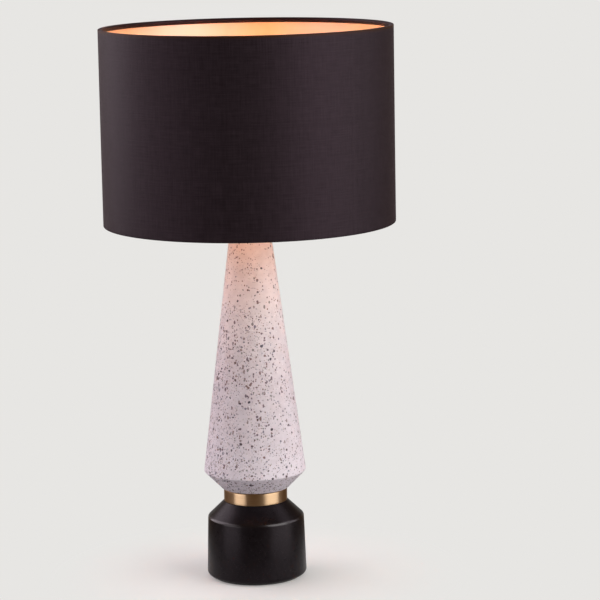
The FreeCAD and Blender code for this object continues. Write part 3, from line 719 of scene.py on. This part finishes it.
def black_stoneware():
    """Satin black cast foot: fine orange peel and a scatter of faint specks. The glaze lies
    thicker on the rounded shoulder, and shines there."""
    made, tree, shader = material("black_stoneware", Specular_IOR_Level=0.20,
                                  Specular_Tint=(1.0, 0.86, 0.96, 1), Coat_Roughness=0.22,
                                  Coat_IOR=1.5)
    spot = here(tree)
    from_shoulder = maths(tree, "ABSOLUTE", maths(tree, "SUBTRACT", height_of(tree, spot),
                                                  foot_shoulder_height))
    specks = place(tree, CHIPS, {"Vector": spot, "Scale": 1000.0, "Share": 0.10, "Size": 0.36})
    speckled = maths(tree, "MULTIPLY", specks["Mask"], 0.7)
    ground = ramp(tree, mottle(tree, spot, 60.0), foot_shades)
    peel = noise(tree, spot, 700.0, 2.0)
    feed(tree, shader, {
        "Base Color": blend(tree, speckled, ground, foot_speck),
        "Coat Weight": eased(tree, from_shoulder, *thick_glaze_reach, high=thick_glaze),
        "Roughness": mottle(tree, spot, 180.0, 0.27, 0.37),
        "Normal": bump(tree, peel, 0.05 * MM, 0.4)})
    return made


# ---------------------------------------------------------------- finishes of the smaller pieces
def plain_finish(name, dark, light, rough, scale, grain, **values):
    """Finish for the smaller parts: colour mottled from dark to light at scale changes to the
    metre, roughness between the two given, and a fine grain of the given depth. Other values are
    the shader's own."""
    made, tree, shader = material(name, **values)
    spot = here(tree)
    fine = noise(tree, spot, 14 * scale, 2.0)
    feed(tree, shader, {
        "Base Color": ramp(tree, mottle(tree, spot, scale), [(0.0, dark), (1.0, light)]),
        "Roughness": mottle(tree, spot, 2.3 * scale, *rough),
        "Normal": bump(tree, fine, grain, 0.5)})
    return made


bulb_strength = 42.0
bulb_light = [               # share of the way up the globe, and the colour thrown from there
    (0.1, (0.22, 0.13, 0.07)), (0.38, (0.84, 0.52, 0.27)), (0.60, (0.80, 0.47, 0.265)),
    (1.0, (0.30, 0.168, 0.107)),
]
bulb_seen = [                # from the middle of the globe to its rim
    (0.0, (0.92, 0.78, 0.56)), (0.55, (0.90, 0.68, 0.42)), (1.0, (0.80, 0.45, 0.20)),
]


def opal_glass():
    """Lit opal bulb. Seen directly it is warm white, deeper at the rim of the globe; the light it
    throws is the filaments' own, strongest round the middle of the globe."""
    made, tree, shader = material("opal_glass", Roughness=0.35, Emission_Strength=1.2,
                                  Base_Color=(0.80, 0.74, 0.66, 1))
    up_globe = mapped(tree, height_of(tree, here(tree)), *span("bulb_globe")[1:])
    thrown = scaled(tree, ramp(tree, up_globe, bulb_light), bulb_strength)
    rim = add(tree, "ShaderNodeLayerWeight", {"Blend": 0.4}).outputs["Facing"]
    straight = add(tree, "ShaderNodeLightPath").outputs["Is Camera Ray"]
    glow = blend(tree, straight, thrown, ramp(tree, rim, bulb_seen))
    feed(tree, shader, {"Emission Color": glow})
    return made


# ---------------------------------------------------------------- turned body pieces
def make_cone():
    """Terrazzo cone: rounded lower edge, chamfer, straight taper, and the top of the core."""
    roof = cone_high - core_roof
    outline = rounded([
        (spigot_bore, cone_low), (spigot_radius, cone_low, 0.5 * MM), (spigot_radius, cone_seat),
        (cone_foot_radius, cone_seat, 1.0 * MM),
        (cone_wide_radius, cone_seat + cone_chamfer_height, 2.6 * MM),
        (cone_top_radius, cone_high, 1.2 * MM), (stem_hole_radius, cone_high),
        (stem_hole_radius, roof), (core_top_radius, roof, 4 * MM),
    ], step=3 * MM)
    fit(turned("cone", outline, around=360), "terrazzo_cone", terrazzo())


def make_collar():
    """Brass collar, outside and web, with a thin bright bevel on each edge."""
    radius, low, high = span("brass_collar")
    wall, web = 4 * MM, 4 * MM
    bevel, bevel_round, web_round = 0.7 * MM, 0.15 * MM, 1 * MM
    inner = radius - wall
    web_low, web_high = (low + high - web) / 2, (low + high + web) / 2
    outline = rounded([
        (stem_hole_radius, web_low), (inner, web_low, web_round), (inner, low),
        (radius - bevel, low, bevel_round), (radius, low + bevel, bevel_round),
        (radius, high - bevel, bevel_round), (radius - bevel, high, bevel_round), (inner, high),
        (inner, web_high, web_round), (stem_hole_radius, web_high),
    ], step=2 * MM)
    fit(turned("collar", outline, around=360), "brass_collar", brushed_brass())


# ---------------------------------------------------------------- finishes of the other nodes
def make_small_finishes():
    """Finish of every node that is not a large worked surface, by the node's name."""
    black_plastic = plain_finish(
        "black_phenolic", (0.012, 0.012, 0.013), (0.020, 0.019, 0.019),
        rough=(0.30, 0.42), scale=90.0, grain=0.03 * MM)
    steel = plain_finish(
        "zinc_steel", (0.46, 0.46, 0.47), (0.62, 0.61, 0.58),
        rough=(0.28, 0.42), scale=140.0, grain=0.02 * MM, Metallic=1.0)
    brass_strip = plain_finish(
        "rolled_brass", (0.62, 0.42, 0.18), (0.78, 0.56, 0.28),
        rough=(0.22, 0.36), scale=160.0, grain=0.02 * MM, Metallic=1.0)
    ceramic = plain_finish(
        "white_ceramic", (0.70, 0.68, 0.62), (0.80, 0.78, 0.73),
        rough=(0.30, 0.45), scale=120.0, grain=0.03 * MM)
    wire = plain_finish(
        "coated_wire", (0.30, 0.28, 0.24), (0.40, 0.37, 0.32),
        rough=(0.36, 0.48), scale=110.0, grain=0.04 * MM)
    felt = plain_finish(
        "black_felt", (0.018, 0.016, 0.017), (0.050, 0.046, 0.047),
        rough=(0.85, 0.98), scale=260.0, grain=0.25 * MM, Sheen_Weight=0.4, Sheen_Roughness=0.5)
    rubber = plain_finish(
        "dark_gasket", (0.014, 0.011, 0.011), (0.026, 0.021, 0.020),
        rough=(0.6, 0.8), scale=130.0, grain=0.03 * MM)
    cap_metal = plain_finish(
        "nickelled_cap", (0.66, 0.64, 0.60), (0.80, 0.78, 0.74),
        rough=(0.20, 0.34), scale=150.0, grain=0.02 * MM, Metallic=1.0)
    black_glass = plain_finish(
        "black_vitrite", (0.010, 0.010, 0.016), (0.020, 0.020, 0.030),
        rough=(0.10, 0.22), scale=150.0, grain=0.01 * MM)
    rod_light = plain_finish(
        "light_rods", (0.90, 0.55, 0.15), (0.95, 0.65, 0.25),
        rough=(0.4, 0.6), scale=200.0, grain=0.02 * MM, Emission_Strength=6.0,
        Emission_Color=(1.0, 0.55, 0.18, 1))
    stem_glass = plain_finish(
        "stem_glass", (0.90, 0.92, 0.92), (0.95, 0.96, 0.96),
        rough=(0.02, 0.10), scale=150.0, grain=0.01 * MM, Transmission_Weight=1.0, IOR=1.5)
    return {
        "base_pad": felt, "base": black_stoneware(), "cord_bush": black_plastic,
        "clamp_washer": steel, "lock_washer": steel, "clamp_nut": steel, "threaded_tube": steel,
        "lock_nut": steel, "terminal_screws": steel, "holder_grub_screw": steel,
        "collar_gasket": rubber, "cone_cap": brushed_brass(), "holder_cap": black_plastic,
        "holder_skirt": black_plastic, "lower_shade_ring": black_plastic,
        "upper_shade_ring": black_plastic, "holder_insert": ceramic, "screw_shell": brass_strip,
        "centre_contact": brass_strip, "side_contact": brass_strip, "top_wire_ring": wire,
        "bottom_wire_ring": wire, "shade_arms": wire, "carrier_ring": wire,
        "bulb_globe": opal_glass(), "bulb_cap": cap_metal, "bulb_contact": cap_metal,
        "bulb_insulator": black_glass, "bulb_stem": stem_glass, "bulb_filaments": rod_light,
    }


small_finishes = make_small_finishes()


def finish_nodes():
    """Gives every CAD node that stays its finish."""
    for node, finish in small_finishes.items():
        mesh = nodes[node].data
        mesh.materials.clear()
        mesh.materials.append(finish)


# ---------------------------------------------------------------- threaded pieces
def thread(a, z, low, high, pitch, depth):
    """Right-hand round thread as an offset of the radius: depth times half of one less the cosine
    of the turns climbed, (z - low) / pitch - a / tau, dying out over half a pitch at its ends."""
    turns = (z - low) / pitch - a / TAU
    fade = np.clip(2 * (z - low) / pitch, 0, 1) * np.clip(2 * (high - z) / pitch, 0, 1)
    return depth * fade * (0.5 - 0.5 * np.cos(TAU * turns))


def make_skirt():
    """Upper shell of the lampholder, cut outside with the thread for the two shade rings."""
    radius, low, high = span("holder_skirt")
    sleeve = radius - 0.9 * MM   # bore of the stretch that goes over the lower shell
    bore = radius - 3.5 * MM
    step, lip = low + 4.1 * MM, 0.8 * MM
    thread_low, thread_high = low + 8 * MM, high - 1 * MM
    outline = rounded([
        (sleeve, low), (radius, low), (radius, high, lip), (bore, high, lip), (bore, step),
        (sleeve, step),
    ], step=0.3 * MM)

    def relief(a, r, z):
        outside = r > radius - 0.1 * MM
        return outside * thread(a, z, thread_low, thread_high, ring_thread_pitch,
                                -ring_thread_depth)

    skirt = turned("skirt", outline, around=144, relief=relief)
    fit(skirt, "holder_skirt", small_finishes["holder_skirt"])


def make_bulb_cap():
    """Cap of the bulb: thin shell with a rolled thread and a turned-in lower edge."""
    radius, low, high = span("bulb_cap")
    wall = 0.4 * MM
    bore = radius - wall
    turned_in = bore - 1.5 * MM
    thread_low, thread_high = low + 3.2 * MM, high - 6 * MM
    outline = rounded([
        (turned_in, low), (radius, low, 2 * wall), (radius, high), (bore, high),
        (bore, low + wall, wall), (turned_in, low + wall),
    ], step=0.35 * MM)

    def relief(a, r, z):
        return thread(a, z, thread_low, thread_high, cap_thread_pitch, -cap_thread_depth)

    cap = turned("screw_cap", outline, around=144, relief=relief)
    fit(cap, "bulb_cap", small_finishes["bulb_cap"])


def make_screw_shell():
    """Brass cup of the lampholder, formed outwards with the thread that takes the cap."""
    radius, low, high = span("screw_shell")
    wall = 0.4 * MM
    bore = radius - wall
    flange_bore = bore - 0.9 * MM
    thread_low, thread_high = low + 3 * MM, high - 1.5 * MM
    outline = rounded([
        (flange_bore, low), (radius, low), (radius, high), (bore, high), (bore, low + wall),
        (flange_bore, low + wall),
    ], step=0.35 * MM)

    def relief(a, r, z):
        return thread(a, z, thread_low, thread_high, cap_thread_pitch, cap_thread_depth)

    shell = turned("thread_cup", outline, around=144, relief=relief)
    fit(shell, "screw_shell", small_finishes["screw_shell"])


# ---------------------------------------------------------------- floor and light
backdrop_colour = (0.80, 0.79, 0.77, 1)
backdrop_fill = 0.14         # its level as it lights the lamp
backdrop_in_gloss = 0.45     # its level straight behind the lamp, as gloss shows it
room_colour = (0.80, 0.42, 0.16, 1)
room_in_gloss = 0.10         # its level all round that, as gloss shows it
room_edge = (-0.985, -0.78)  # cosines of the angle to the front, where it starts and is full
floor_radius = 0.26
floor_level = -0.2 * MM
floor_shades = [(0.0, (0.76, 0.75, 0.73)), (1.0, (0.79, 0.78, 0.76))]
floor_fade = (0.30, 0.97)    # shares of its radius where it starts to fade and is the backdrop
floor_in_gloss = 0.25        # the floor's glow as gloss shows it
floor_lift = 0.18            # share of the backdrop's brightness added to the floor
light_distance = 2.3
light_aim_height = 0.35


def background_rays(tree, in_gloss):
    """1 for the rays that see the background straight or through glass, and the given level for
    those that see it in gloss."""
    path = add(tree, "ShaderNodeLightPath").outputs
    seen = maths(tree, "MAXIMUM", path["Is Camera Ray"], path["Is Transmission Ray"])
    return maths(tree, "MAXIMUM", seen, maths(tree, "MULTIPLY", path["Is Glossy Ray"], in_gloss))


def pale_floor():
    """Finish of the floor. Near the lamp it is matt and takes the shadow, and towards its edge it
    passes into the backdrop's plain colour. From below it is clear."""
    made, tree, shader = material("pale_floor", Roughness=0.85, Specular_IOR_Level=0.1,
                                  Emission_Color=backdrop_colour)
    spot = here(tree)
    seen = background_rays(tree, floor_in_gloss)
    feed(tree, shader, {"Base Color": ramp(tree, mottle(tree, spot, 3.0), floor_shades),
                        "Emission Strength": maths(tree, "MULTIPLY", seen, floor_lift)})
    start, end = (share * floor_radius for share in floor_fade)
    far = eased(tree, vectors(tree, "LENGTH", spot), start, end)
    glow = add(tree, "ShaderNodeEmission", {"Color": backdrop_colour, "Strength": seen})
    both = add(tree, "ShaderNodeMixShader", {0: far, 1: shader.outputs[0], 2: glow.outputs[0]})
    under = add(tree, "ShaderNodeNewGeometry").outputs["Backfacing"]
    clear = add(tree, "ShaderNodeBsdfTransparent")
    whole = add(tree, "ShaderNodeMixShader", {0: under, 1: both.outputs[0], 2: clear.outputs[0]})
    feed(tree, tree.nodes["Material Output"], {"Surface": whole.outputs[0]})
    return made


def make_floor():
    """Round floor under the lamp: point(a, r) = (r cos a, r sin a, floor level)."""
    around, rings = 96, 9
    a = np.linspace(0, TAU, around, endpoint=False)[:, None]
    r = np.linspace(0, floor_radius, rings)[None, :]
    points = np.stack(np.broadcast_arrays(r * np.cos(a), r * np.sin(a), floor_level), 2)
    flat_uv = np.zeros((around + 1, rings, 2))
    floor = grid_object("floor", points[::-1], flat_uv, wrap_along=False)
    floor.data.materials.append(pale_floor())


def soft_box(name, azimuth, height, width, tall, power, colour, glossy=True):
    """Upright area lamp that faces the lamp's middle, at (d sin azimuth, -d cos azimuth) from the
    axis: azimuth 0 is the camera's side and positive is to the right."""
    data = bpy.data.lights.new(name, "AREA")
    data.shape = "RECTANGLE"
    data.size = width
    data.size_y = tall
    data.energy = power
    data.color = colour
    lamp = bpy.data.objects.new(name, data)
    bpy.context.scene.collection.objects.link(lamp)
    angle = math.radians(azimuth)
    stand = Vector((light_distance * math.sin(angle), -light_distance * math.cos(angle), height))
    lamp.location = stand
    lamp.visible_camera = False
    lamp.visible_glossy = glossy
    aim = Vector((0, 0, light_aim_height)) - stand
    lamp.rotation_euler = aim.to_track_quat("-Z", "Y").to_euler()


def make_surroundings():
    """Pale backdrop all round, which lights the lamp at a plain, even level. Gloss shows it only
    straight behind the lamp, and a dim warm room all round that."""
    world = bpy.data.worlds.new("surroundings")
    bpy.context.scene.world = world
    world.use_nodes = True
    tree = world.node_tree
    direction = add(tree, "ShaderNodeTexCoord").outputs["Generated"]
    to_front = vectors(tree, "DOT_PRODUCT", direction, (0, -1, 0))
    room = eased(tree, to_front, *room_edge)
    in_gloss = eased(tree, to_front, *room_edge, backdrop_in_gloss, room_in_gloss)
    path = add(tree, "ShaderNodeLightPath").outputs
    room_seen = maths(tree, "MULTIPLY", room, path["Is Glossy Ray"])
    fill = maths(tree, "MULTIPLY", path["Is Diffuse Ray"], backdrop_fill)
    feed(tree, tree.nodes["Background"], {
        "Color": blend(tree, room_seen, backdrop_colour, room_colour),
        "Strength": maths(tree, "MAXIMUM", background_rays(tree, in_gloss), fill)})


def make_light():
    """Soft boxes round the lamp. In front are a strong one at the right and a narrow one at the
    left, each with a low one under it for the foot and the collar. One stands at each side.
    Three more show in no gloss and even out the light: a low and a tall one in front, and one
    at the rear."""
    make_surroundings()
    # name, azimuth, height, width, tall, power, colour
    soft_box("right_soft_box", 56, 1.15, 2.3, 2.3, 52.5, (1.0, 0.985, 0.975))
    soft_box("right_low_box", 62, -0.32, 2.3, 0.6, 8.6, (1.0, 0.985, 0.975))
    soft_box("narrow_soft_box", -65, 1.15, 0.9, 2.3, 9, (1.0, 0.93, 0.97))
    soft_box("left_low_box", -60, -0.32, 1.8, 0.6, 6.9, (1.0, 0.97, 0.99))
    soft_box("front_low_box", 0, -0.10, 1.2, 0.5, 1.5, (1.0, 0.99, 0.98), glossy=False)
    soft_box("front_soft_box", -40, 0.70, 1.6, 2.4, 7, (1.0, 0.97, 0.99), glossy=False)
    soft_box("left_side_box", -110, 1.30, 2.6, 2.6, 46, (1.0, 0.90, 0.97))
    soft_box("right_side_box", 100, 1.30, 1.2, 2.6, 13, (1.0, 0.93, 1.0))
    soft_box("rear_soft_box", 180, 0.85, 2.4, 2.9, 36, (1.0, 0.98, 0.98), glossy=False)


make_camera()
make_cover()
make_lining()
make_cone()
make_collar()
make_skirt()
make_bulb_cap()
make_screw_shell()
finish_nodes()
make_floor()
make_light()
bpy.context.scene.view_settings.view_transform = "Standard"
